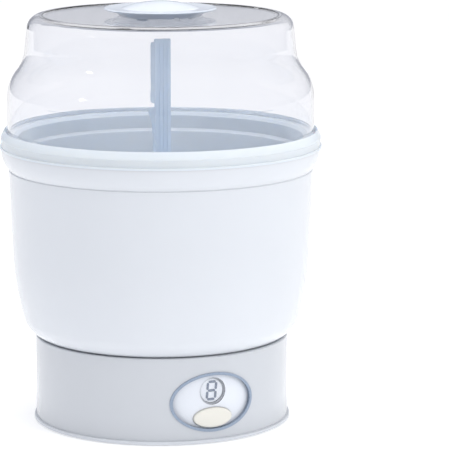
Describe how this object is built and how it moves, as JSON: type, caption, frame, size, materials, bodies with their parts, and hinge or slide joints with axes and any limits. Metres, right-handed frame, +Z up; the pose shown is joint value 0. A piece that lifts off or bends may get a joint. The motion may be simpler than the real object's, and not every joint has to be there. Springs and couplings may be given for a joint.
{
  "type": "electric steam steriliser",
  "caption": "Electric steam steriliser: white bowl-shaped body on a round base with a sunk control panel, a lift-out basket with a carrying stem, and a clear domed lid.",
  "frame": {"origin": "middle of the footprint, on the surface that the feet stand on", "axes": "+Z up along the axis of the round body, -Y towards the control panel, +X to the right when facing the panel"},
  "size_m": [0.262, 0.262, 0.3435],
  "materials": {
    "white_housing": "moulded gloss, cool white",
    "clear_lid": "clear moulded plastic",
    "frosted_knob": "milky translucent plastic",
    "blue_basket": "pale blue translucent plastic",
    "blue_stem": "pale blue translucent plastic, deeper tint",
    "panel_grey": "satin grey-blue plastic",
    "trim_grey": "satin darker grey-blue plastic",
    "window_clear": "clear polished lens",
    "display_case": "pale matt face",
    "segment_grey": "grey bars",
    "button_cream": "cream satin plastic",
    "lamp_orange": "tinted lamp lens",
    "black_plastic": "black moulded plastic",
    "board_green": "green coated laminate",
    "rubber_grey": "matt rubber",
    "gland_white": "soft white plastic",
    "silicone": "translucent silicone",
    "stainless": "brushed stainless",
    "plated_steel": "zinc plated",
    "spreader_alu": "cast aluminium",
    "element_sheath": "darkened sheath",
    "thermostat_body": "dark moulded resin",
    "fuse_case": "plain metal case",
    "lead_sleeve": "heat-proof sleeving"
  },
  "bodies": {
    "base": {"outer_shell": "white_housing", "inner_tub": "white_housing", "base_skirt": "white_housing", "bottom_cover": "white_housing", "control_panel": "panel_grey", "panel_trim": "trim_grey", "display_window": "window_clear", "display_module": "display_case", "display_segments": "segment_grey", "button_light": "lamp_orange", "tact_switch": "black_plastic", "board_relay": "black_plastic", "board_supply": "black_plastic", "control_board": "board_green", "rubber_feet": "rubber_grey", "cord_gland": "gland_white", "plate_seal": "silicone", "panel_gasket": "silicone", "heating_plate": "stainless", "plate_retainer": "plated_steel", "fuse_clip": "plated_steel", "cover_screws": "plated_steel", "body_screws": "plated_steel", "retainer_screws": "plated_steel", "board_screws": "plated_steel", "element_terminals": "plated_steel", "heat_spreader": "spreader_alu", "heating_element": "element_sheath", "thermostat": "thermostat_body", "thermal_fuse": "fuse_case", "element_leads": "lead_sleeve"},
    "basket": {"basket": "blue_basket", "basket_stem": "blue_stem"},
    "lid": {"lid_shell": "clear_lid", "lid_handle": "frosted_knob"},
    "button": {"start_button": "button_cream"}
  },
  "joints": [
    {"name": "basket_lift", "type": "slide", "parent": "base", "child": "basket", "axis": [0, 0, 1], "range_m": [0, 0.16]},
    {"name": "lid_lift", "type": "slide", "parent": "basket", "child": "lid", "axis": [0, 0, 1], "range_m": [0, 0.1]},
    {"name": "start_button_press", "type": "slide", "parent": "base", "child": "button", "axis": [0, 1, 0], "range_m": [0, 0.0015], "stiffness_N_per_m": 800}
  ]
}
